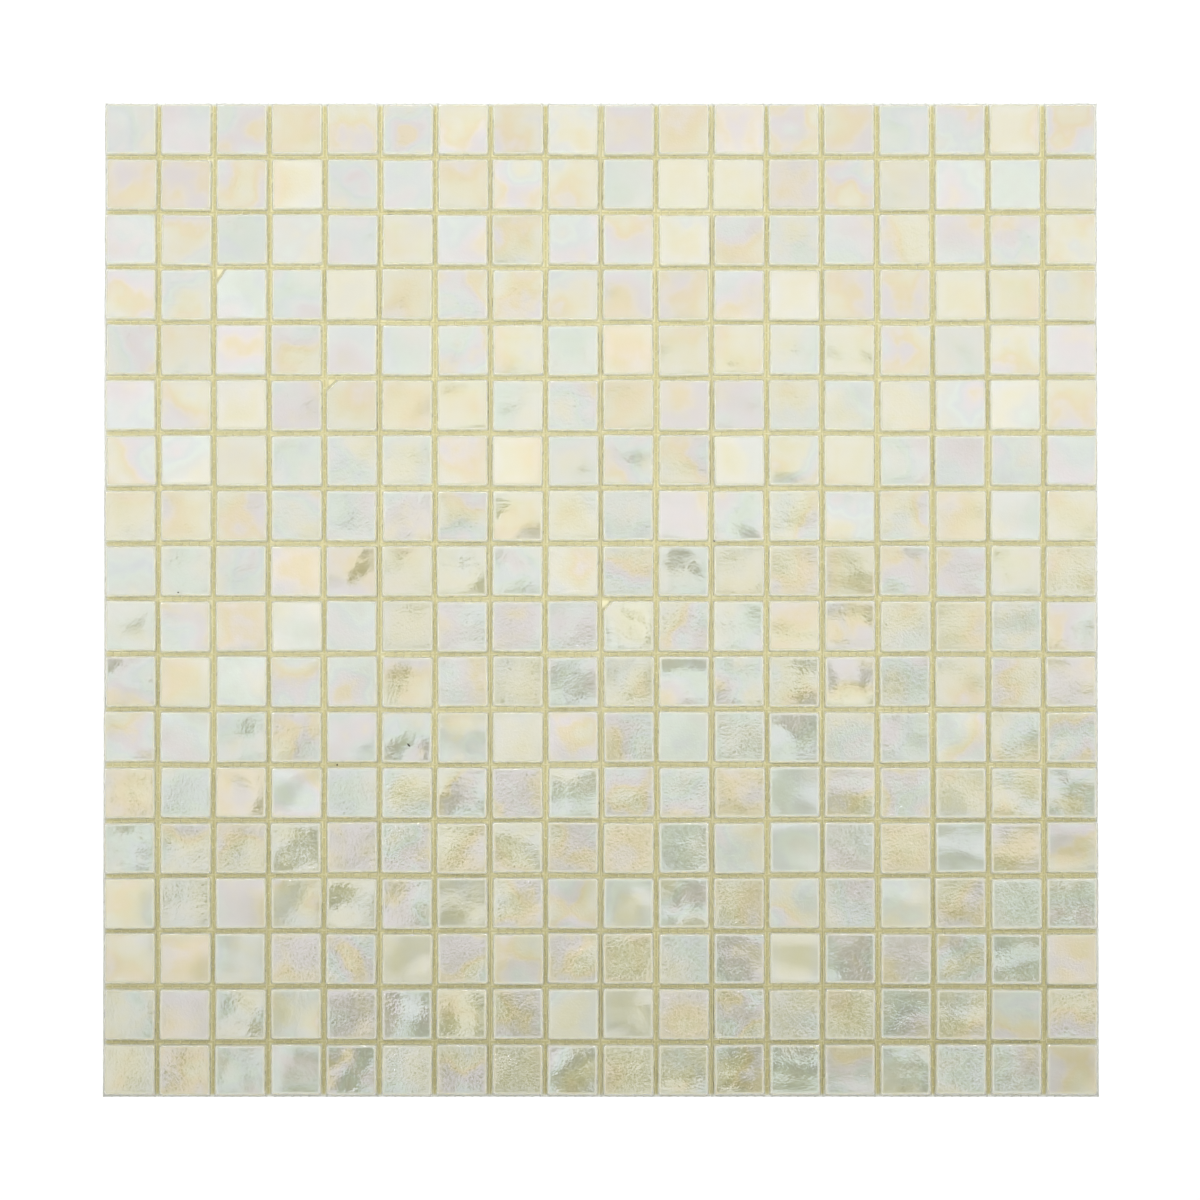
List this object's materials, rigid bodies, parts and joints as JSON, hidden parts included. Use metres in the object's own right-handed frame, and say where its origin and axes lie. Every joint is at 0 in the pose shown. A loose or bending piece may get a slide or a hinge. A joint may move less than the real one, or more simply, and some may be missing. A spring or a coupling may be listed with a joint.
{
  "type": "mosaic tile sheet",
  "caption": "Flat sheet of small square pearly glass tiles with open joints, held in line by a glass-fibre net on their backs, for tiling walls, floors and pools.",
  "frame": {"origin": "middle of the sheet, level with the underside of the net", "axes": "+X along the rows, to the right as the sheet is looked at; +Y up the columns; +Z out of the glass faces. The sheet lies flat, faces up."},
  "size_m": [0.295, 0.295, 0.0044],
  "materials": {
    "pearl_glass": "opaque milky cream glass, pressed, with a thin iridescent coat on the face that shows pale yellow, peach, lilac, ice blue and mint; glossy, faintly hammered",
    "net_yarn": "white glass-fibre yarn set in clear resin, milky and half matt"
  },
  "bodies": {
    "root": {"tile_row_01": "pearl_glass", "tile_row_02": "pearl_glass", "tile_row_03": "pearl_glass", "tile_row_04": "pearl_glass", "tile_row_05": "pearl_glass", "tile_row_06": "pearl_glass", "tile_row_07": "pearl_glass", "tile_row_08": "pearl_glass", "tile_row_09": "pearl_glass", "tile_row_10": "pearl_glass", "tile_row_11": "pearl_glass", "tile_row_12": "pearl_glass", "tile_row_13": "pearl_glass", "tile_row_14": "pearl_glass", "tile_row_15": "pearl_glass", "tile_row_16": "pearl_glass", "tile_row_17": "pearl_glass", "tile_row_18": "pearl_glass", "net_warp": "net_yarn", "net_weft": "net_yarn"}
  },
  "joints": []
}
